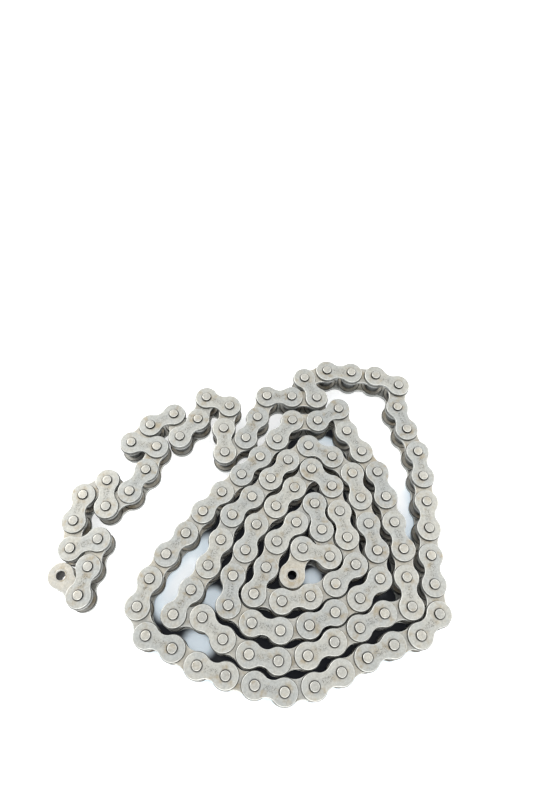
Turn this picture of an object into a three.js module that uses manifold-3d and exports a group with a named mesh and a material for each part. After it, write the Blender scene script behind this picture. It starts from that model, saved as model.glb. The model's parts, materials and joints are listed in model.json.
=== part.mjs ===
// A length of single-strand steel roller chain, lying loosely coiled on its side. Millimetres, +Z up.
// It rests on its lower pin ends, so every pin stands upright and every pivot turns about Z.
import * as THREE from "three";
import { mergeVertices } from "three/addons/utils/BufferGeometryUtils.js";
import Module from "manifold-3d";

const wasm = await Module();
wasm.setup();

// Driving sizes of the chain.
const PITCH = 15.875;
const ROLLER_DIAMETER = 10.16;
const INNER_WIDTH = 9.5; // between the inner plates
const PLATE_THICKNESS = 2.03;
const INNER_PLATE = { height: 14.8, waist: 10.4 };
const OUTER_PLATE = { height: 14.0, waist: 8.8 };
const PIN_DIAMETER = 5.08;
const PIN_PROUD = 1.2; // each pin end stands this far out of the outer plate
const BUSH_DIAMETER = 7.2;
const RUNNING_GAP = 0.12; // between an inner and an outer plate
const FIT_GAP = 0.15; // on the radius, between pieces that are pressed or turn on one another
const ROLLER_PLAY = 0.15; // at each end of a roller

// The chain's first links turn on one another, and the rest are joined into this many runs.
const TURNING_LINKS = 34;
const COIL_RUNS = 18;

// Heights above the surface that the chain lies on.
const OUTER_LOW = PIN_PROUD;
const INNER_LOW = OUTER_LOW + PLATE_THICKNESS + RUNNING_GAP;
const INSIDE_LOW = INNER_LOW + PLATE_THICKNESS;
const INNER_HIGH = INSIDE_LOW + INNER_WIDTH;
const OUTER_HIGH = INNER_HIGH + PLATE_THICKNESS + RUNNING_GAP;
const PIN_LENGTH = OUTER_HIGH + PLATE_THICKNESS + PIN_PROUD;
const BUSH_LENGTH = INNER_WIDTH + 2 * PLATE_THICKNESS;

// How the chain lies: the heading of each link in degrees, walking from the tail's free end to the middle
// of the coil. Inner and outer links alternate, and both ends are inner links.
const TAIL = [
  ...[-43, 82, 78, -157, 94, 80, 38, -83, 41],
  ...[60, 73, 175, 50, 33, -71, 51, 75, -18],
  ...[-89, -90, 33, 75, 70, 7, 1, 120, 24],
];
const FIRST_WRAP = [
  ...[-2, -4, -20, -98, -70, -63, -83, -86, -87, -94, -87, -88],
  ...[-124, -167, -152, -154, -159, -165, -177, 165, 170, 144, 164],
  ...[112, 71, 62, 51, 59, 40, 45, 49, 62, 56],
];
const SECOND_WRAP = [
  ...[6, 31, -77, -49, -62, -73, -77, -78, -72, -81],
  ...[176, -146, -141, -156, -165, 174, 150, 142, -175],
  ...[60, 43, 66, 68, 52, 51, 50, 65],
];
const THIRD_WRAP = [
  ...[-16, -54, -67, -73, -78, -78],
  ...[-138, -143, -153, -170, 170, 142],
  ...[73, 66, 61, 51, 52, 53],
];
const FOURTH_WRAP = [-65, -72, -70, -76, -138, -149, -168, 171, 63, 76, 48, 49];
const COIL_END = [-76, -71, 165, -105];
const HEADINGS = [...TAIL, ...FIRST_WRAP, ...SECOND_WRAP, ...THIRD_WRAP, ...FOURTH_WRAP, ...COIL_END];

// Two pins that share no link stay this far apart, so that the inner plates round them clear one another.
const PIN_SPACING = INNER_PLATE.height + 0.4;
const SETTLING_SWEEPS = 3000;

// The pins in order, each one pitch from the last along its link's heading.
function walk(headings, start) {
  const pins = [start.clone()];
  for (const heading of headings) {
    const step = new THREE.Vector2(PITCH, 0).rotateAround(new THREE.Vector2(), heading);
    pins.push(pins.at(-1).clone().add(step));
  }
  return pins;
}

// Brings pins a and b to the given distance, moving both by the same amount.
function setDistance(a, b, distance) {
  const apart = b.clone().sub(a);
  const shift = apart.clone().multiplyScalar((distance / apart.length() - 1) / 2);
  a.sub(shift);
  b.add(shift);
}

// Eases the wraps apart until they lie side by side, with every link back at its pitch.
function settle(headings) {
  const pins = walk(headings, new THREE.Vector2());
  for (let sweep = 0; sweep < SETTLING_SWEEPS; sweep++) {
    for (let i = 0; i < pins.length; i++)
      for (let j = i + 2; j < pins.length; j++)
        if (pins[i].distanceTo(pins[j]) < PIN_SPACING) setDistance(pins[i], pins[j], PIN_SPACING);
    for (let i = 1; i < pins.length; i++) setDistance(pins[i - 1], pins[i], PITCH);
  }
  const settled = pins.slice(1).map((pin, i) => pin.clone().sub(pins[i]).angle());
  return { pins: walk(settled, pins[0]), headings: settled };
}

// A closed geometry as a manifold-3d solid.
function solidOf(geometry) {
  const bare = geometry.clone();
  bare.deleteAttribute("normal");
  bare.deleteAttribute("uv");
  const merged = mergeVertices(bare, 1e-4);
  const vertProperties = merged.attributes.position.array;
  return new wasm.Manifold(
    new wasm.Mesh({ numProp: 3, vertProperties, triVerts: new Uint32Array(merged.index.array) }),
  );
}

// A manifold-3d solid as a geometry with flat faces.
function geometryOf(solid) {
  const made = solid.getMesh();
  const geometry = new THREE.BufferGeometry()
    .setAttribute("position", new THREE.BufferAttribute(made.vertProperties, 3))
    .setIndex(new THREE.BufferAttribute(made.triVerts, 1))
    .toNonIndexed();
  geometry.computeVertexNormals();
  return geometry;
}

// An upright prism with the given number of sides, its corners on the given diameter.
function column(diameter, low, high, sides, x = 0) {
  return new THREE.CylinderGeometry(diameter / 2, diameter / 2, high - low, sides)
    .rotateX(Math.PI / 2)
    .translate(x, 0, (low + high) / 2);
}

// An upright ring, turned from its wall's section.
function ring(outerDiameter, boreDiameter, low, high, sides) {
  const [outer, bore] = [outerDiameter / 2, boreDiameter / 2];
  const section = [
    new THREE.Vector2(bore, low),
    new THREE.Vector2(outer, low),
    new THREE.Vector2(outer, high),
    new THREE.Vector2(bore, high),
    new THREE.Vector2(bore, low),
  ];
  return new THREE.LatheGeometry(section, sides).rotateX(Math.PI / 2);
}

// The figure-of-eight outline of a plate: a round end about each pivot, joined by hollow waists.
function plateOutline({ height, waist }, detail) {
  const [end, half, middle] = [height / 2, waist / 2, PITCH / 2];
  const hollow = (middle ** 2 + half ** 2 - end ** 2) / (2 * (end - half));
  const meet = Math.atan2(half + hollow, middle); // where a round end runs into a hollow
  const endArc = { radius: end, steps: detail.endSteps };
  const hollowArc = { radius: hollow, steps: detail.waistSteps };
  const arcs = [
    { ...endArc, x: PITCH, y: 0, from: meet - Math.PI, to: Math.PI - meet },
    { ...hollowArc, x: middle, y: half + hollow, from: -meet, to: meet - Math.PI },
    { ...endArc, x: 0, y: 0, from: meet, to: 2 * Math.PI - meet },
    { ...hollowArc, x: middle, y: -half - hollow, from: Math.PI - meet, to: meet },
  ];
  return arcs.flatMap(({ x, y, radius, from, to, steps }) =>
    Array.from({ length: steps }, (_, i) => {
      const angle = from + ((to - from) * i) / steps;
      return new THREE.Vector2(x + radius * Math.cos(angle), y + radius * Math.sin(angle));
    }),
  );
}

// How finely the round shapes are faceted: finest on the separate pieces of the free end, plainer on the
// links that turn, and plainest on the runs joined inside the coil.
const FINE = { endSteps: 8, waistSteps: 4, sides: 12 };
const PLAIN = { endSteps: 3, waistSteps: 2, sides: 6 };
const PLAINEST = { endSteps: 3, waistSteps: 2, sides: 5 };

// The corners of a regular polygon about the point (x, 0).
function polygon(diameter, sides, x) {
  return Array.from({ length: sides }, (_, i) => {
    const angle = (2 * Math.PI * i) / sides;
    return new THREE.Vector2(x + (diameter / 2) * Math.cos(angle), (diameter / 2) * Math.sin(angle));
  });
}

// One plate lying flat from the height low, with its first pivot on the origin and its second along +X.
function plate(size, low, detail, holeDiameter = 0, thickness = PLATE_THICKNESS) {
  const shape = new THREE.Shape(plateOutline(size, detail));
  if (holeDiameter)
    for (const x of [0, PITCH])
      shape.holes.push(new THREE.Path(polygon(holeDiameter, detail.sides, x)));
  const options = { depth: thickness, bevelEnabled: false };
  return new THREE.ExtrudeGeometry(shape, options).translate(0, 0, low);
}

const STEEL = {
  plate: new THREE.MeshStandardMaterial({ color: 0xb9b8b2, roughness: 0.42, metalness: 0.85 }),
  pin: new THREE.MeshStandardMaterial({ color: 0xcfcbbf, roughness: 0.38, metalness: 0.85 }),
  bush: new THREE.MeshStandardMaterial({ color: 0xa8a69f, roughness: 0.4, metalness: 0.85 }),
  roller: new THREE.MeshStandardMaterial({ color: 0x8c8e90, roughness: 0.35, metalness: 0.85 }),
};

function named(name, geometry, material) {
  const mesh = new THREE.Mesh(geometry, material);
  mesh.name = name;
  return mesh;
}

// The free end's inner link in its separate pieces: two plates pressed on two bushes, and two rollers.
function innerLinkPieces(number) {
  const hole = BUSH_DIAMETER + 2 * FIT_GAP;
  const pieces = [
    named(`inner_plate_low_${number}`, plate(INNER_PLATE, INNER_LOW, FINE, hole), STEEL.plate),
    named(`inner_plate_high_${number}`, plate(INNER_PLATE, INNER_HIGH, FINE, hole), STEEL.plate),
  ];
  const rollerLow = INSIDE_LOW + ROLLER_PLAY;
  const rollerHigh = INNER_HIGH - ROLLER_PLAY;
  const pinBore = PIN_DIAMETER + 2 * FIT_GAP;
  for (const [letter, x] of [["a", 0], ["b", PITCH]]) {
    const bush = ring(BUSH_DIAMETER, pinBore, INNER_LOW, INNER_LOW + BUSH_LENGTH, FINE.sides);
    const roller = ring(ROLLER_DIAMETER, hole, rollerLow, rollerHigh, FINE.sides);
    pieces.push(named(`bush_${number}${letter}`, bush.translate(x, 0, 0), STEEL.bush));
    pieces.push(named(`roller_${number}${letter}`, roller.translate(x, 0, 0), STEEL.roller));
  }
  return pieces;
}

// The outer link next to it in its separate pieces: two plates riveted on two pins.
function outerLinkPieces(number) {
  const hole = PIN_DIAMETER + 2 * FIT_GAP;
  const pieces = [
    named(`outer_plate_low_${number}`, plate(OUTER_PLATE, OUTER_LOW, FINE, hole), STEEL.plate),
    named(`outer_plate_high_${number}`, plate(OUTER_PLATE, OUTER_HIGH, FINE, hole), STEEL.plate),
  ];
  for (const [letter, x] of [["a", 0], ["b", PITCH]]) {
    const pin = column(PIN_DIAMETER, 0, PIN_LENGTH, FINE.sides, x);
    pieces.push(named(`pin_${number}${letter}`, pin, STEEL.pin));
  }
  return pieces;
}

// The closed blanks that an outer link is joined from: its plates and its two pins. The plates of a tight
// link reach the inner plates beside them.
function outerLinkBlanks(detail, tight) {
  const reach = tight ? RUNNING_GAP : 0;
  return [
    plate(OUTER_PLATE, OUTER_LOW, detail, 0, PLATE_THICKNESS + reach),
    plate(OUTER_PLATE, OUTER_HIGH - reach, detail, 0, PLATE_THICKNESS + reach),
    column(PIN_DIAMETER, 0, PIN_LENGTH, detail.sides),
    column(PIN_DIAMETER, 0, PIN_LENGTH, detail.sides, PITCH),
  ];
}

// The closed blanks that an inner link is joined from: its plates and the two rollers between them.
function innerLinkBlanks(detail) {
  return [
    plate(INNER_PLATE, INNER_LOW, detail),
    plate(INNER_PLATE, INNER_HIGH, detail),
    column(ROLLER_DIAMETER, INSIDE_LOW, INNER_HIGH, detail.sides),
    column(ROLLER_DIAMETER, INSIDE_LOW, INNER_HIGH, detail.sides, PITCH),
  ];
}

const isInner = (link) => link % 2 === 0;

// Links and runs are named by number, counted from 01.
const numbered = (index) => String(index + 1).padStart(2, "0");

// Joins blanks into one solid and opens the bush round each of the given bore centres. The bore's flats
// stay clear of a turning pin's corners, so its own corners lie further out.
function joined(blanks, boreCentres) {
  let whole = blanks.map(solidOf).reduce((sum, blank) => sum.add(blank));
  const boreCorners = (PIN_DIAMETER + FIT_GAP) / Math.cos(Math.PI / PLAIN.sides);
  for (const { x, y } of boreCentres) {
    const bore = column(boreCorners, 0, PIN_LENGTH, PLAIN.sides).translate(x, y, 0);
    whole = whole.subtract(solidOf(bore));
  }
  return geometryOf(whole);
}

// One link that turns on its neighbours, in its own frame.
function singleLink(link) {
  const number = numbered(link);
  if (!isInner(link))
    return named(`outer_link_${number}`, joined(outerLinkBlanks(PLAIN), []), STEEL.plate);
  const bores = [new THREE.Vector2(), new THREE.Vector2(PITCH, 0)];
  return named(`inner_link_${number}`, joined(innerLinkBlanks(PLAIN), bores), STEEL.plate);
}

// A run of links inside the coil, joined in the chain's frame. Where it ends in a bush, the bush is open.
function coilRun(name, first, last, pins, headings) {
  const blanks = [];
  for (let link = first; link <= last; link++) {
    const { x, y } = pins[link];
    const own = isInner(link)
      ? innerLinkBlanks(PLAINEST)
      : outerLinkBlanks(PLAINEST, link > first && link < last);
    blanks.push(...own.map((blank) => blank.rotateZ(headings[link]).translate(x, y, 0)));
  }
  const bores = [];
  if (isInner(first)) bores.push(pins[first]);
  if (isInner(last)) bores.push(pins[last + 1]);
  return named(name, joined(blanks, bores), STEEL.plate);
}

// The chain: the first links turn one by one, and the rest of the coil is cut into runs of about equal
// length.
function chain() {
  const { pins, headings } = settle(HEADINGS.map(THREE.MathUtils.degToRad));
  const whole = new THREE.Group();
  for (let link = 0; link < TURNING_LINKS; link++) {
    const frame = new THREE.Group();
    frame.position.set(pins[link].x, pins[link].y, 0);
    frame.rotation.z = headings[link];
    if (link === 0) frame.add(...innerLinkPieces(numbered(link)));
    else if (link === 1) frame.add(...outerLinkPieces(numbered(link)));
    else frame.add(singleLink(link));
    whole.add(frame);
  }
  const coiled = headings.length - TURNING_LINKS;
  for (let run = 0; run < COIL_RUNS; run++) {
    const first = TURNING_LINKS + Math.round((coiled * run) / COIL_RUNS);
    const last = TURNING_LINKS + Math.round((coiled * (run + 1)) / COIL_RUNS) - 1;
    whole.add(coilRun(`coil_run_${numbered(run)}`, first, last, pins, headings));
  }
  return whole;
}

// The origin is under the middle of the chain's bounding box, on the surface that it lies on.
const rollerChain = new THREE.Group();
const lay = chain();
const middle = new THREE.Box3().setFromObject(lay, true).getCenter(new THREE.Vector3());
lay.position.set(-middle.x, -middle.y, 0);
rollerChain.add(lay);

export default rollerChain;
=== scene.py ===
"""The looks of a loosely coiled roller chain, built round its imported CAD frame.

Every plate is a piece of its own, and so are the pins, bushes and rollers of the turning links. Those of
the coil are three objects of separate solids. The pins' places come from the frame: the turning links' from
their joints, and the rest from the upper pin ends of the joined runs.
"""

import json
import math

import bmesh
import bpy
import numpy as np
from mathutils import Matrix, Vector
from mathutils.geometry import tessellate_polygon


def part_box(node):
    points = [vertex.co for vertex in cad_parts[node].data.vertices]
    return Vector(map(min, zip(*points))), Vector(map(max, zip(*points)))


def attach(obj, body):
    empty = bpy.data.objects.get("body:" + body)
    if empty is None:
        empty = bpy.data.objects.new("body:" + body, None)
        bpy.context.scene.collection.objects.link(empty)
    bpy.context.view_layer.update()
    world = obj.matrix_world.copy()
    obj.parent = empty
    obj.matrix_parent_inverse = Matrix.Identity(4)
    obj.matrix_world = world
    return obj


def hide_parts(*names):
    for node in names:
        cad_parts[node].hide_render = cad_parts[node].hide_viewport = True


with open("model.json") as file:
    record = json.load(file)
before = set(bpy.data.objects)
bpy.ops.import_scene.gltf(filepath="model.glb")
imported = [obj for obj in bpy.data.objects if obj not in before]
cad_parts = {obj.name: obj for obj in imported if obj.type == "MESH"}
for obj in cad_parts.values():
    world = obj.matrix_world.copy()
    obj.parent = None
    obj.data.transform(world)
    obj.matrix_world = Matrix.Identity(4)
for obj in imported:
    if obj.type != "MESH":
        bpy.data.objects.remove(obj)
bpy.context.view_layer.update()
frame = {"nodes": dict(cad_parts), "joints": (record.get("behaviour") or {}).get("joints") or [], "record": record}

MM = 0.001

# Sizes of the chain in millimetres. Heights come from the frame.
PITCH = 15.875
PIN_DIAMETER = 5.08
BUSH_DIAMETER = 7.2
ROLLER_DIAMETER = 10.16
INNER_PLATE = {"height": 14.8, "waist": 10.4}
OUTER_PLATE = {"height": 14.0, "waist": 8.8}
PIN_PLAY = 0.08  # on the radius, between a pin and its bush
ROLLER_PLAY = 0.12  # on the radius, between a bush and its roller
SEAT_GAP = 0.02  # on the radius, round a pressed or riveted joint
PLATE_ROUND = 0.5  # rounding of the stamped edges
HOLE_ROUND = 0.16
PIN_ROUND = 0.3
BUSH_ROUND = 0.12
ROLLER_ROUND = 0.35
ROUND_STEPS = 3
PIN_ROUND_STEPS = 4
CIRCLE_STEPS = 40  # round a hole, and round each end of a plate
HOLLOW_STEPS = 12  # along each hollow of a plate's waist
TURNED_SIDES = 48
SHARP_ANGLE = math.radians(50)

TURNING_LINKS = sum(joint["name"].startswith("pivot_") for joint in frame["joints"])
COIL_BODY = "coil"


# ---- Places -------------------------------------------------------------------------------------------


def joint_place(name):
    """The axis of a joint, in the plane."""
    joint = next(joint for joint in frame["joints"] if joint["name"] == name)
    return Vector(joint["pos_m"][:2])


def pin_ends(node):
    """The axes of the pins whose upper ends a joined run holds, in no set order."""
    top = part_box(node)[1].z
    tolerance = 0.01 * MM
    corners = {
        (round(v.co.x, 6), round(v.co.y, 6))
        for v in frame["nodes"][node].data.vertices
        if top - v.co.z < tolerance
    }
    groups = []
    for corner in sorted(corners):
        point = Vector(corner)
        near = [g for g in groups if (g[0] - point).length < 1.05 * PIN_DIAMETER * MM]
        if near:
            near[0].append(point)
        else:
            groups.append([point])
    return [sum(group, Vector((0, 0))) / len(group) for group in groups]


def coiled_pins(start):
    """The pins of the joined runs in order, walking one pitch at a time from the last turning pivot."""
    runs = [pin_ends(name) for name in sorted(frame["nodes"]) if name.startswith("coil_run_")]
    walked = [start]
    while any(runs):
        runs = [run for run in runs if run]
        waiting = [(run, pin) for run in runs[:2] for pin in run]
        run, pin = min(waiting, key=lambda w: abs((w[1] - walked[-1]).length - PITCH * MM))
        run.remove(pin)
        walked.append(pin)
    return walked[1:]


def chain_pins():
    """Every pivot from the tail's free end to the coil's middle, both open bushes included."""
    pins = [joint_place("roller_01a_spin")]
    pins += [joint_place(f"pivot_{k:02d}") for k in range(1, TURNING_LINKS + 1)]
    pins += coiled_pins(pins[-1])
    mount = next(m for m in frame["record"]["mounts"] if m["name"] == "coil_end_upper_face")
    outward = (Vector(mount["pos_m"][:2]) - pins[-1]).normalized()
    return pins + [pins[-1] + outward * PITCH * MM]


def body_of_link(link):
    """The body that a link rides on, counting links from 0 at the free end."""
    return f"link_{link + 1:02d}" if link < TURNING_LINKS else COIL_BODY


# ---- Meshes, in millimetres, with a link's first pivot on the Z axis and its second along +X ------------


def quarter(radius, steps=ROUND_STEPS):
    """Insets and drops along a rounded edge, from the flat face to the upright wall."""
    angles = [math.pi / 2 * i / steps for i in range(steps + 1)]
    return [(radius * (1 - math.sin(a)), radius * (1 - math.cos(a))) for a in angles]


def edge_profile(low, high, radius):
    """Insets and heights of a wall from the lower face to the upper one, both edges rounded."""
    rise = [(inset, low + drop) for inset, drop in quarter(radius)]
    fall = [(inset, high - drop) for inset, drop in reversed(quarter(radius))]
    return rise + fall


def arc(x, y, radius, start, end, steps):
    """Points along an arc, its last one left to the arc that follows."""
    angles = [start + (end - start) * i / steps for i in range(steps)]
    return [(x + radius * math.cos(a), y + radius * math.sin(a)) for a in angles]


def plate_outline(size, inset):
    """The figure-of-eight outline of a plate, moved inwards by the inset."""
    end, half, middle = size["height"] / 2, size["waist"] / 2, PITCH / 2
    hollow = (middle**2 + half**2 - end**2) / (2 * (end - half))
    meet = math.atan2(half + hollow, middle)
    turn = math.pi
    return (
        arc(PITCH, 0, end - inset, meet - turn, turn - meet, CIRCLE_STEPS)
        + arc(middle, half + hollow, hollow + inset, -meet, meet - turn, HOLLOW_STEPS)
        + arc(0, 0, end - inset, meet, 2 * turn - meet, CIRCLE_STEPS)
        + arc(middle, -half - hollow, hollow + inset, turn - meet, meet, HOLLOW_STEPS)
    )


def hole_outline(x, radius, inset):
    """A round hole, its wall moved into the plate by the inset."""
    return arc(x, 0, radius + inset, 2 * math.pi, 0, CIRCLE_STEPS)


def add_wall(bm, outlines):
    """Bands of faces between outlines of equal length, each a list of points. Returns the end loops."""
    loops = [[bm.verts.new(point) for point in outline] for outline in outlines]
    for below, above in zip(loops, loops[1:]):
        for i in range(len(below)):
            j = (i + 1) % len(below)
            bm.faces.new((below[i], below[j], above[j], above[i]))
    return loops[0], loops[-1]


def add_cap(bm, loops, upwards):
    """Closes a flat face between an outline and its holes."""
    verts = [vert for loop in loops for vert in loop]
    for triangle in tessellate_polygon([[vert.co for vert in loop] for loop in loops]):
        face = bm.faces.new([verts[i] for i in triangle])
        face.normal_update()
        if (face.normal.z > 0) != upwards:
            face.normal_flip()


def plate_mesh(name, size, hole_radius, low, high):
    """A stamped plate with rounded edges and two round holes."""
    bm = bmesh.new()
    walls = [
        [
            [(x, y, z) for x, y in plate_outline(size, inset)]
            for inset, z in edge_profile(low, high, PLATE_ROUND)
        ]
    ]
    for centre in (0, PITCH):
        walls.append(
            [
                [(x, y, z) for x, y in hole_outline(centre, hole_radius, inset)]
                for inset, z in edge_profile(low, high, HOLE_ROUND)
            ]
        )
    ends = [add_wall(bm, wall) for wall in walls]
    add_cap(bm, [end[0] for end in ends], False)
    add_cap(bm, [end[1] for end in ends], True)
    return finished_mesh(name, bm)


def turned_mesh(name, profile):
    """A shape turned about the Z axis from points (radius, height), closed on the axis or on itself."""
    bm = bmesh.new()
    rings = []
    for radius, height in profile:
        if radius == 0:
            rings.append([bm.verts.new((0, 0, height))] * TURNED_SIDES)
            continue
        angles = [2 * math.pi * i / TURNED_SIDES for i in range(TURNED_SIDES)]
        rings.append(
            [bm.verts.new((radius * math.cos(a), radius * math.sin(a), height)) for a in angles]
        )
    if profile[0][0] > 0:
        rings.append(rings[0])
    for below, above in zip(rings, rings[1:]):
        for i in range(TURNED_SIDES):
            j = (i + 1) % TURNED_SIDES
            corners = []
            for vert in (below[i], below[j], above[j], above[i]):
                if vert not in corners:
                    corners.append(vert)
            bm.faces.new(corners)
    return finished_mesh(name, bm)


def pin_mesh(name, low, high):
    """A riveted pin: flat ends with rounded rims."""
    radius = PIN_DIAMETER / 2
    rise = [(radius - inset, low + drop) for inset, drop in quarter(PIN_ROUND, PIN_ROUND_STEPS)]
    fall = [(radius - inset, high - drop) for inset, drop in reversed(quarter(PIN_ROUND, PIN_ROUND_STEPS))]
    centre = 0.5 * radius
    return turned_mesh(name, [(0, low), (centre, low), *rise, *fall, (centre, high), (0, high)])


def tube_mesh(name, bore_radius, radius, low, high, rounding):
    """A bush or a roller: a tube with rounded edges inside and out."""
    outside = [(radius - inset, z) for inset, z in edge_profile(low, high, rounding)]
    inside = [(bore_radius + inset, z) for inset, z in reversed(edge_profile(low, high, rounding))]
    return turned_mesh(name, outside + inside)


def finished_mesh(name, bm):
    """Scales a mesh to metres, keeps each point's own place for the materials, and shades it smoothly
    with its flat faces flat."""
    mesh = bpy.data.meshes.new(name + "_raw")
    bmesh.ops.recalc_face_normals(bm, faces=bm.faces)
    bm.to_mesh(mesh)
    bm.free()
    places = mesh.attributes.new("place", "FLOAT_VECTOR", "POINT")
    for i, vert in enumerate(mesh.vertices):
        places.data[i].vector = vert.co
    mesh.transform(Matrix.Scale(MM, 4))
    mesh.shade_smooth()
    mesh.set_sharp_from_angle(angle=SHARP_ANGLE)
    carrier = bpy.data.objects.new(name + "_carrier", mesh)
    bpy.context.scene.collection.objects.link(carrier)
    carrier.modifiers.new("flat_faces", "WEIGHTED_NORMAL").keep_sharp = True
    depsgraph = bpy.context.evaluated_depsgraph_get()
    finished = bpy.data.meshes.new_from_object(
        carrier.evaluated_get(depsgraph), preserve_all_data_layers=True, depsgraph=depsgraph
    )
    finished.name = name
    bpy.data.objects.remove(carrier)
    bpy.data.meshes.remove(mesh)
    return finished


# ---- Materials ------------------------------------------------------------------------------------------


class Nodes:
    """Short calls that add and link the nodes of one material."""

    def __init__(self, name, roughness, metallic):
        self.material = bpy.data.materials.new(name)
        self.material.use_nodes = True
        self.tree = self.material.node_tree
        self.shader = self.tree.nodes["Principled BSDF"]
        self.shader.inputs["Metallic"].default_value = metallic
        self.shader.inputs["Roughness"].default_value = roughness

    def add(self, kind, settings=(), **inputs):
        node = self.tree.nodes.new("ShaderNode" + kind)
        for key, value in dict(settings).items():
            setattr(node, key, value)
        for key, value in inputs.items():
            self.feed(node.inputs[key.replace("_", " ")], value)
        return node

    def feed(self, socket, value):
        if isinstance(value, bpy.types.NodeSocket):
            self.tree.links.new(value, socket)
        else:
            socket.default_value = value

    def math(self, operation, a, b=0.0, c=0.0):
        node = self.add("Math", {"operation": operation})
        for socket, value in zip(node.inputs, (a, b, c)):
            self.feed(socket, value)
        return node.outputs[0]

    def seed(self):
        """A piece's own number from 0 to 1: its object's, plus its mesh's where many are joined."""
        whole = self.add("Attribute", {"attribute_name": "seed", "attribute_type": "OBJECT"})
        joined = self.add("Attribute", {"attribute_name": "joined_seed"})
        return self.math("FRACT", self.math("ADD", whole.outputs["Fac"], joined.outputs["Fac"]))

    def place(self):
        """A point's own place on its piece, in millimetres."""
        return self.add("Attribute", {"attribute_name": "place"}).outputs["Vector"]

    def shifted(self, place, seed):
        """The place moved by the seed, so that no two pieces share their noise."""
        node = self.add("VectorMath", {"operation": "MULTIPLY_ADD"})
        self.feed(node.inputs[0], (97.0, 61.0, 43.0))
        self.feed(node.inputs[1], seed)
        self.feed(node.inputs[2], place)
        return node.outputs[0]

    def noise(self, vector, scale, detail=3.0, roughness=0.55):
        node = self.add("TexNoise", Vector=vector, Scale=scale, Detail=detail, Roughness=roughness)
        return node.outputs["Fac"]

    def ramp(self, value, low, high):
        """0 below low, 1 above high and smooth between."""
        node = self.add("MapRange", {"interpolation_type": "SMOOTHSTEP"})
        self.feed(node.inputs["Value"], value)
        self.feed(node.inputs["From Min"], low)
        self.feed(node.inputs["From Max"], high)
        return node.outputs["Result"]

    def mix(self, share, a, b):
        node = self.add("Mix", {"data_type": "RGBA"})
        for socket, value in ((node.inputs[0], share), (node.inputs[6], a), (node.inputs[7], b)):
            self.feed(socket, value if not isinstance(value, tuple) else (*value, 1.0))
        return node.outputs[2]

    def bump(self, height, distance, strength=1.0, below=None):
        node = self.add("Bump", Strength=strength, Distance=distance, Height=height)
        if below is not None:
            self.feed(node.inputs["Normal"], below)
        return node.outputs["Normal"]


def link_map(nodes, own):
    """A point's place along its link, its distances from the link's middle along and across it, and its
    distance from the nearer pin's axis, in millimetres. On a pin, bush or roller the last is the radius."""
    split = nodes.add("SeparateXYZ", Vector=own)
    x = split.outputs["X"]
    along = nodes.math("ABSOLUTE", nodes.math("SUBTRACT", x, PITCH / 2))
    across = nodes.math("ABSOLUTE", split.outputs["Y"])
    short = nodes.math("SUBTRACT", along, PITCH / 2)
    square = nodes.math("MULTIPLY_ADD", short, short, nodes.math("MULTIPLY", across, across))
    return x, along, across, nodes.math("SQRT", square)


# Wear patterns in features a millimetre, and the depths of the two that dent the face, in millimetres.
CLOUD_SCALE = 0.16
BLOT_SCALE = 0.17
MOTTLE_SCALE = 0.75
GRAIN_SCALE = 1.9
SCUFF_SCALE = 1.5
GRAIN_DEPTH = 0.03
CLOUD_DEPTH = 0.12


def upright_map(nodes):
    """How far the surface faces up or down: 1 on flat faces, 0 on walls, between on rounded edges."""
    normal = nodes.add("NewGeometry").outputs["Normal"]
    return nodes.math("ABSOLUTE", nodes.add("SeparateXYZ", Vector=normal).outputs["Z"])


def covered(nodes, x):
    """1 where a neighbour's plate lies over this one, and 0 at the chain's two open ends."""
    open_end = nodes.add("Attribute", {"attribute_name": "open_end", "attribute_type": "OBJECT"})
    towards_open = nodes.math("MULTIPLY", nodes.math("SUBTRACT", PITCH / 2, x), open_end.outputs["Fac"])
    return nodes.ramp(towards_open, 0.5, 0.0)


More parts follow.
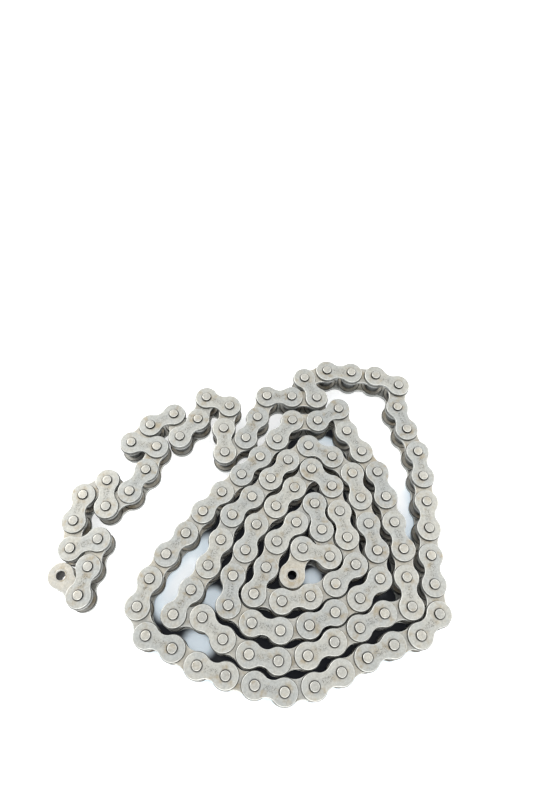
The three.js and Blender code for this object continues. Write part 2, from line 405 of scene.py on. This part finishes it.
def steel(
    name, tones, wall, edge, roughness, stains=0.0, ring_at=None, ring_width=0.5, grainy=True, scuffed=False
):
    """Lightly oiled steel: a face between two tones, darker walls, bright edges of wear and painted highlight,
    tan stains near the pins, a dark ring at a radius of grime and painted shade, scuffs at the middle of the
    link, and fine grain."""
    nodes = Nodes(name, roughness, STEEL_METALLIC)
    seed = nodes.seed()
    own = nodes.place()
    x, along, across, radius = link_map(nodes, own)
    shifted = nodes.shifted(own, seed)
    upright = upright_map(nodes)
    cloud = nodes.noise(shifted, CLOUD_SCALE)
    blot = nodes.noise(shifted, BLOT_SCALE, 4.0, 0.6)
    mottle = nodes.noise(shifted, MOTTLE_SCALE, 4.0, 0.75)
    grain = nodes.noise(shifted, GRAIN_SCALE, 4.0, 0.7)

    colour = nodes.mix(nodes.ramp(nodes.math("MULTIPLY_ADD", seed, 0.3, cloud), 0.4, 0.9), *tones)
    near_pin = nodes.ramp(radius, 8.5, 3.0)
    stained = nodes.ramp(nodes.math("MULTIPLY_ADD", near_pin, 0.10, blot), 0.62 - stains, 0.86 - stains)
    colour = nodes.mix(nodes.math("MULTIPLY", stained, 0.6), colour, RUST_TAN)
    colour = nodes.mix(nodes.ramp(upright, 0.2, 0.6), wall, colour)
    # Bright rounded edges: partly polish from wear, partly a painted highlight.
    wear_and_highlight = nodes.math("SUBTRACT", nodes.ramp(upright, 0.3, 0.6), nodes.ramp(upright, 0.9, 0.985))
    colour = nodes.mix(nodes.math("MULTIPLY", wear_and_highlight, 0.75), colour, edge)
    # A dark ring, partly grime and partly painted shade: round the pins on the outer plates, and a painted shadow
    # under the outer plates' edges on the inner plates; none where no neighbour's plate covers it.
    if ring_at is not None:
        off_ring = nodes.math("ABSOLUTE", nodes.math("SUBTRACT", radius, ring_at))
        ring = nodes.ramp(off_ring, ring_width, 0.3 * ring_width)
        ring = nodes.math("MULTIPLY", ring, nodes.math("MULTIPLY_ADD", blot, 0.8, 0.45))
        ring = nodes.math("MULTIPLY", ring, covered(nodes, x))
        colour = nodes.mix(ring, colour, GRIME_AND_SHADE)
    if scuffed:
        middle = nodes.math("MULTIPLY", nodes.ramp(along, 4.6, 3.0), nodes.ramp(across, 2.4, 1.2))
        marks = nodes.ramp(nodes.noise(shifted, SCUFF_SCALE, 3.0, 0.7), 0.49, 0.60)
        colour = nodes.mix(nodes.math("MULTIPLY", nodes.math("MULTIPLY", middle, marks), 0.6), colour, GRIME_AND_SHADE)

    shade = nodes.math("MULTIPLY_ADD", grain, 0.40, 0.29)
    shade = nodes.math("MULTIPLY_ADD", mottle, 1.0, shade)
    shade = nodes.math("MULTIPLY_ADD", seed, 0.10, shade)
    tinted = nodes.add("VectorMath", {"operation": "SCALE"})
    nodes.feed(tinted.inputs[0], colour)
    nodes.feed(tinted.inputs["Scale"], shade)
    nodes.feed(nodes.shader.inputs["Base Color"], tinted.outputs[0])
    if grainy:
        nodes.feed(nodes.shader.inputs["Roughness"], nodes.math("MULTIPLY_ADD", grain, 0.2, roughness - 0.1))
        normal = nodes.bump(grain, GRAIN_DEPTH * MM, 0.5)
        nodes.feed(nodes.shader.inputs["Normal"], nodes.bump(cloud, CLOUD_DEPTH * MM, 0.4, normal))
    return nodes.material


OUTER_TONES = ((0.398, 0.401, 0.380), (0.425, 0.413, 0.370))
INNER_TONES = ((0.424, 0.415, 0.383), (0.455, 0.424, 0.361))
PIN_TONES = ((0.430, 0.418, 0.379), (0.464, 0.440, 0.384))
ROLLER_TONES = ((0.20, 0.20, 0.19), (0.24, 0.23, 0.21))
PLATE_WALL = (0.31, 0.32, 0.31)
ROLLER_WALL = (0.085, 0.09, 0.09)
# Colours of the rounded edges: partly worn bright, partly a painted highlight, the pins' rims most of all
PLATE_EDGE = (0.66, 0.66, 0.62)
PIN_EDGE = (0.95, 0.94, 0.88)
# Near-black: real grime in the scuffs and rings, and painted shade on the pins' and bushes' walls and in the rings
GRIME_AND_SHADE = (0.035, 0.032, 0.028)
STEEL_METALLIC = 0.75  # dulled by its film of oil
PLATE_ROUGHNESS = 0.46
PIN_ROUGHNESS = 0.38
ROLLER_ROUGHNESS = 0.33
RUST_TAN = (0.30, 0.23, 0.13)

MATERIALS = {
    "outer_plate": steel(
        "outer_plate_steel",
        OUTER_TONES,
        PLATE_WALL,
        PLATE_EDGE,
        roughness=PLATE_ROUGHNESS,
        stains=0.06,
        # a dark ring round each pin: grime and painted shade
        ring_at=PIN_DIAMETER / 2,
        ring_width=1.0,
        scuffed=True,
    ),
    "inner_plate": steel(
        "inner_plate_steel",
        INNER_TONES,
        PLATE_WALL,
        PLATE_EDGE,
        roughness=PLATE_ROUGHNESS,
        stains=0.12,
        # a painted shadow where the outer plates' edges lie over this plate
        ring_at=OUTER_PLATE["height"] / 2,
        ring_width=0.45,
    ),
    # Pins: near-black walls as painted shade, and bright rims that are partly wear and partly a painted highlight
    "pin": steel("pin_steel", PIN_TONES, GRIME_AND_SHADE, PIN_EDGE, roughness=PIN_ROUGHNESS),
    "bush": steel(
        "bush_steel",
        INNER_TONES,
        # near-black walls: painted shade on the bush's walls and in its bore
        GRIME_AND_SHADE,
        PLATE_EDGE,
        roughness=PLATE_ROUGHNESS,
        stains=0.12,
        grainy=False,
    ),
    "roller": steel(
        "roller_steel",
        ROLLER_TONES,
        ROLLER_WALL,
        PLATE_EDGE,
        roughness=ROLLER_ROUGHNESS,
        grainy=False,
    ),
}


# ---- Pieces ---------------------------------------------------------------------------------------------


def heights(node):
    """The lowest and highest millimetres of a CAD node."""
    low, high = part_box(node)
    return low.z / MM, high.z / MM


def make_meshes():
    """One mesh for each kind of piece, shared by all of that kind."""
    pin_radius = PIN_DIAMETER / 2
    bush_radius = BUSH_DIAMETER / 2
    inner_hole = bush_radius + SEAT_GAP
    outer_hole = pin_radius + SEAT_GAP
    meshes = {
        "inner_plate_low": plate_mesh(
            "inner_plate_low", INNER_PLATE, inner_hole, *heights("inner_plate_low_01")
        ),
        "inner_plate_high": plate_mesh(
            "inner_plate_high", INNER_PLATE, inner_hole, *heights("inner_plate_high_01")
        ),
        "outer_plate_low": plate_mesh(
            "outer_plate_low", OUTER_PLATE, outer_hole, *heights("outer_plate_low_02")
        ),
        "outer_plate_high": plate_mesh(
            "outer_plate_high", OUTER_PLATE, outer_hole, *heights("outer_plate_high_02")
        ),
        "pin": pin_mesh("pin", *heights("pin_02a")),
        "bush": tube_mesh("bush", pin_radius + PIN_PLAY, bush_radius, *heights("bush_01a"), BUSH_ROUND),
        "roller": tube_mesh(
            "roller",
            bush_radius + ROLLER_PLAY,
            ROLLER_DIAMETER / 2,
            *heights("roller_01a"),
            ROLLER_ROUND,
        ),
    }
    for kind, mesh in meshes.items():
        material = MATERIALS[kind.replace("_low", "").replace("_high", "")]
        mesh.materials.clear()
        mesh.materials.append(material)
    return meshes


GOLDEN_SHARE = 0.6180339887  # the golden ratio less one spreads the seeds evenly


def cad_nodes_of(link, body):
    """The CAD nodes that a link's pieces stand for: its body's own, or the joined run that holds it."""
    if body != COIL_BODY:
        return frame["record"]["behaviour"]["bodies"][body]
    runs = sorted(name for name in frame["nodes"] if name.startswith("coil_run_"))
    coiled = len(pins) - 1 - TURNING_LINKS
    starts = [TURNING_LINKS + math.floor(coiled * i / len(runs) + 0.5) for i in range(len(runs))]
    return [runs[sum(first <= link for first in starts) - 1]]


def place_of(place, heading):
    """A transform to a pivot, turned to a link's heading."""
    return Matrix.Translation((*place, 0)) @ Matrix.Rotation(heading, 4, "Z")


def next_seed():
    """A number from 0 to 1, well away from the ones before it."""
    seeds.append((len(seeds) * GOLDEN_SHARE) % 1.0)
    return seeds[-1]


def hold(piece, body, cad_nodes):
    """Ties a piece to its body and hides the CAD nodes that it stands for."""
    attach(piece, body)
    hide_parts(*cad_nodes)


def add_piece(kind, name, link, transform, body, cad_nodes):
    """One piece of the chain. Its seed sets its own wear."""
    piece = bpy.data.objects.new(name, meshes[kind])
    bpy.context.scene.collection.objects.link(piece)
    piece.matrix_world = transform
    piece["seed"] = next_seed()
    piece["open_end"] = OPEN_ENDS.get(link, 0.0)
    hold(piece, body, cad_nodes)


def add_joined(kind, name, transforms, body, cad_nodes):
    """Many separate solids of one kind in one object, each with its own seed."""
    copies = []
    for transform in transforms:
        mesh = meshes[kind].copy()
        own = mesh.attributes.new("joined_seed", "FLOAT", "POINT")
        own.data.foreach_set("value", [next_seed()] * len(mesh.vertices))
        copies.append(bpy.data.objects.new(name, mesh))
        copies[-1].matrix_world = transform
        bpy.context.scene.collection.objects.link(copies[-1])
    with bpy.context.temp_override(active_object=copies[0], selected_editable_objects=copies):
        bpy.ops.object.join()
    copies[0].name = name
    hold(copies[0], body, cad_nodes)


def add_link(link):
    """The plates of a link, with its pins, or with its bushes and rollers. Those of the coil's links wait
    to be joined."""
    start, end = pins[link], pins[link + 1]
    heading = math.atan2(end.y - start.y, end.x - start.x)
    body = body_of_link(link)
    cad_nodes = cad_nodes_of(link, body)
    number = f"{link + 1:03d}"
    family, ends = ("inner_plate", ("bush", "roller")) if link % 2 == 0 else ("outer_plate", ("pin",))
    for side in ("low", "high"):
        kind = f"{family}_{side}"
        add_piece(kind, f"{kind}_{number}", link, place_of(start, heading), body, cad_nodes)
    for letter, place in (("a", start), ("b", end)):
        for kind in ends:
            transform = place_of(place, heading)
            own = f"roller_01{letter}"
            spins = kind == "roller" and link == 0
            rides_on, stands_for = (own, [own]) if spins else (body, cad_nodes)
            if body == COIL_BODY:
                coiled[kind].append(transform)
            else:
                add_piece(kind, f"{kind}_{number}{letter}", link, transform, rides_on, stands_for)


meshes = make_meshes()
pins = chain_pins()
seeds = []
coiled = {"pin": [], "bush": [], "roller": []}
OPEN_ENDS = {0: 1.0, len(pins) - 2: -1.0}  # links with an open bush: 1 at the first pivot, -1 at the second
for link in range(len(pins) - 1):
    add_link(link)
for kind, plural in (("pin", "coil_pins"), ("bush", "coil_bushes"), ("roller", "coil_rollers")):
    add_joined(kind, plural, coiled[kind], COIL_BODY, frame["record"]["behaviour"]["bodies"][COIL_BODY])


# ---- Floor, light and camera ----------------------------------------------------------------------------

FLOOR_HALF = 3000.0
COVER_REACH = 9  # millimetres round a floor point within which the coil shades it
# Painted shade on the floor: black in the coil's narrow gaps, bluish where the coil is near
FLOOR_GAP_SHADE = (0.010, 0.011, 0.014)
FLOOR_SHADE = (0.68, 0.76, 0.82)
FLOOR_WHITE = (0.92, 0.92, 0.92)
FLOOR_GLOW = 0.6
FLOOR_ROUGHNESS = 0.6
FLOOR_DROP = 0.02  # millimetres from the floor up to the chain
TENT_COLOUR = (0.93, 0.965, 1.0)
TENT_STRENGTH = 1.08
SOFTBOX_COLOUR = (1.0, 0.98, 0.95)
SOFTBOXES = {  # place and size in metres, and power in watts
    "key_softbox": ((-0.9, 0.5, 0.8), 0.7, 9),
    "fill_softbox": ((0.9, 0.4, 0.8), 0.7, 4.5),
    "front_softbox": ((0.05, -0.55, 0.30), 0.6, 1.8),
}


def coil_grid():
    """Lines of a floor grid in millimetres: a millimetre apart under the coil, then out to the floor's
    edges."""
    margin = COVER_REACH + INNER_PLATE["height"]
    lines = []
    for axis in (0, 1):
        places = [pin[axis] / MM for pin in pins[TURNING_LINKS:]]
        fine = np.arange(math.floor(min(places) - margin), math.ceil(max(places) + margin) + 1.0)
        lines.append(np.concatenate(([-FLOOR_HALF], fine, [FLOOR_HALF])))
    return np.meshgrid(*lines, indexing="ij")


def under_coil(x, y):
    """Whether each grid point lies under one of the coil's links."""
    hidden = np.zeros(x.shape, bool)
    for start, end in zip(pins[TURNING_LINKS:], pins[TURNING_LINKS + 1 :]):
        sx, sy = start / MM
        dx, dy = (end - start) / MM
        share = np.clip(((x - sx) * dx + (y - sy) * dy) / (dx * dx + dy * dy), 0, 1)
        gap = np.hypot(x - sx - share * dx, y - sy - share * dy)
        hidden |= gap < OUTER_PLATE["height"] / 2
    return hidden


def open_shares(hidden):
    """For each grid point, the share of the grid within reach of it that the coil doesn't hide."""
    seen = np.pad(~hidden, COVER_REACH, constant_values=True).astype(float)
    steps = range(-COVER_REACH, COVER_REACH + 1)
    offsets = [(i, j) for i in steps for j in steps if math.hypot(i, j) <= COVER_REACH]
    wide, deep = hidden.shape
    total = sum(
        seen[COVER_REACH + i : COVER_REACH + i + wide, COVER_REACH + j : COVER_REACH + j + deep]
        for i, j in offsets
    )
    return total / len(offsets)


def floor_material():
    """White with a soft glow of its own, painted bluish shade where the coil is near, and painted black
    shade in the narrow gaps.
    """
    nodes = Nodes("pale_floor", FLOOR_ROUGHNESS, metallic=0.0)
    share = nodes.add("Attribute", {"attribute_name": "open_share"}).outputs["Fac"]
    # Painted shade: black in the narrow gaps, bluish nearer the coil, white in the open
    shaded = nodes.mix(nodes.ramp(share, 0.22, 0.36), FLOOR_GAP_SHADE, FLOOR_SHADE)
    colour = nodes.mix(nodes.ramp(share, 0.36, 0.72), shaded, FLOOR_WHITE)
    for socket in ("Base Color", "Emission Color"):
        nodes.feed(nodes.shader.inputs[socket], colour)
    nodes.shader.inputs["Emission Strength"].default_value = FLOOR_GLOW
    return nodes.material


def add_floor():
    """A pale floor just under the lower pin ends."""
    x, y = coil_grid()
    points = np.stack((x.ravel(), y.ravel(), np.zeros(x.size)), axis=1) * MM
    rows, columns = x.shape
    corner = np.arange(x.size).reshape(rows, columns)[:-1, :-1].ravel()
    quads = np.stack((corner, corner + columns, corner + columns + 1, corner + 1), axis=1)
    mesh = bpy.data.meshes.new("floor")
    mesh.from_pydata(points, [], quads)
    shares = mesh.attributes.new("open_share", "FLOAT", "POINT")
    shares.data.foreach_set("value", open_shares(under_coil(x, y)).ravel())
    mesh.materials.append(floor_material())
    floor = bpy.data.objects.new("floor", mesh)
    floor.location.z = -FLOOR_DROP * MM
    bpy.context.scene.collection.objects.link(floor)


def add_softbox(name, place, size, power):
    """A square area light aimed at the middle of the chain."""
    light = bpy.data.lights.new(name, "AREA")
    light.size = size
    light.energy = power
    light.color = SOFTBOX_COLOUR
    lamp = bpy.data.objects.new(name, light)
    lamp.location = place
    lamp.rotation_euler = (-Vector(place)).to_track_quat("-Z", "Y").to_euler()
    bpy.context.scene.collection.objects.link(lamp)


def add_surroundings():
    """A bright, slightly blue tent of light."""
    world = bpy.data.worlds.new("light_tent")
    world.use_nodes = True
    background = world.node_tree.nodes["Background"]
    background.inputs["Color"].default_value = (*TENT_COLOUR, 1)
    background.inputs["Strength"].default_value = TENT_STRENGTH
    bpy.context.scene.world = world


# The camera looks down on the coil from its near side.
CAMERA_TARGET = (4.16, 70.65)  # where its axis meets the plane of the upper pin ends, in millimetres
CAMERA_DISTANCE = 391.6
CAMERA_AZIMUTH = math.radians(-0.4)
CAMERA_ELEVATION = math.radians(63.84)
CAMERA_ROLL = math.radians(2.91)
CAMERA_LENS = 27.819  # millimetres, behind a frame as high as the sensor
SENSOR_HEIGHT = 36.0


def add_camera():
    """A camera at its distance from the target, turned to its azimuth and elevation, then rolled."""
    azimuth, elevation = CAMERA_AZIMUTH, CAMERA_ELEVATION
    forward = Vector(
        (
            math.sin(azimuth) * math.cos(elevation),
            math.cos(azimuth) * math.cos(elevation),
            -math.sin(elevation),
        )
    )
    target = Vector((*CAMERA_TARGET, heights("pin_02a")[1]))
    data = bpy.data.cameras.new("camera")
    data.sensor_fit = "VERTICAL"
    data.sensor_height = SENSOR_HEIGHT
    data.lens = CAMERA_LENS
    data.clip_start = 0.01
    camera = bpy.data.objects.new("camera", data)
    camera.location = (target - forward * CAMERA_DISTANCE) * MM
    level = forward.to_track_quat("-Z", "Y")
    camera.rotation_mode = "QUATERNION"
    camera.rotation_quaternion = level @ Matrix.Rotation(CAMERA_ROLL, 3, "Z").to_quaternion()
    bpy.context.scene.collection.objects.link(camera)
    bpy.context.scene.camera = camera


add_floor()
add_surroundings()
for name, (place, size, power) in SOFTBOXES.items():
    add_softbox(name, place, size, power)
add_camera()
bpy.context.scene.view_settings.view_transform = "Standard"
